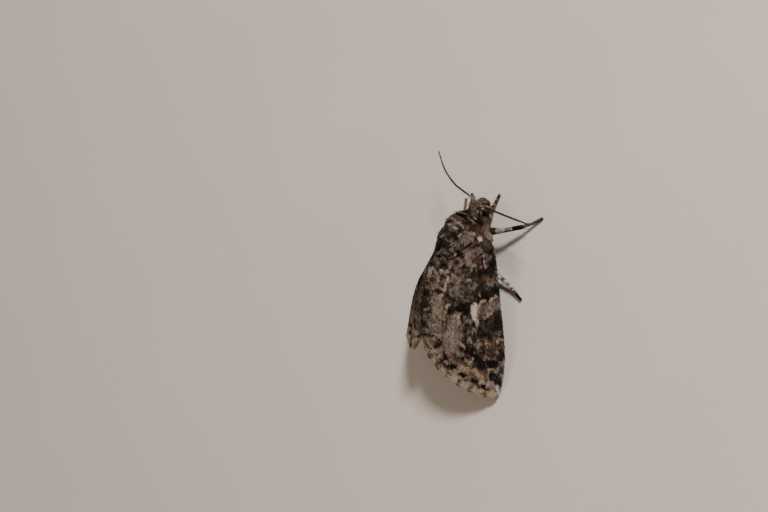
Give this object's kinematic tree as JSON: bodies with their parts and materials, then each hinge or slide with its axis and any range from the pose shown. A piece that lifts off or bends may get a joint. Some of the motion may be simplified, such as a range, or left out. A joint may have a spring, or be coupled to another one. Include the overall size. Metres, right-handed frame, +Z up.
{
  "type": "moth",
  "caption": "Life-size owlet moth at rest, mottled brown wings folded roof-like over its body, standing on its feet with its feelers held out.",
  "frame": {"origin": "middle of the bottom of the whole moth, on the surface that the feet stand on", "axes": "+Z up, the head faces -Y, the moth's own left is +X"},
  "size_m": [0.0146, 0.0206, 0.0066],
  "materials": {
    "thorax_scales": "long grey-brown and black hair-like scales, matt",
    "head_scales": "reddish brown hair-like scales, matt",
    "abdomen_scales": "pale grey-brown scales, matt",
    "forewing_scales": "flat overlapping scales, mottled dark brown, grey and buff, matt",
    "hindwing_scales": "thin grey-brown scales over a membrane, matt",
    "leg_scales": "black-brown scales with pale rings, matt",
    "antenna_cuticle": "dark brown cuticle, slight sheen",
    "eye_gloss": "black glossy compound eye"
  },
  "bodies": {
    "root": {"thorax": "thorax_scales", "head": "head_scales", "abdomen": "abdomen_scales", "eye_right": "eye_gloss", "forewing_right": "forewing_scales", "hindwing_right": "hindwing_scales", "antenna_right": "antenna_cuticle", "eye_left": "eye_gloss", "forewing_left": "forewing_scales", "hindwing_left": "hindwing_scales", "antenna_left": "antenna_cuticle", "leg_fore_right": "leg_scales", "leg_mid_right": "leg_scales", "leg_hind_right": "leg_scales", "leg_fore_left": "leg_scales", "leg_mid_left": "leg_scales", "leg_hind_left": "leg_scales"}
  },
  "joints": []
}
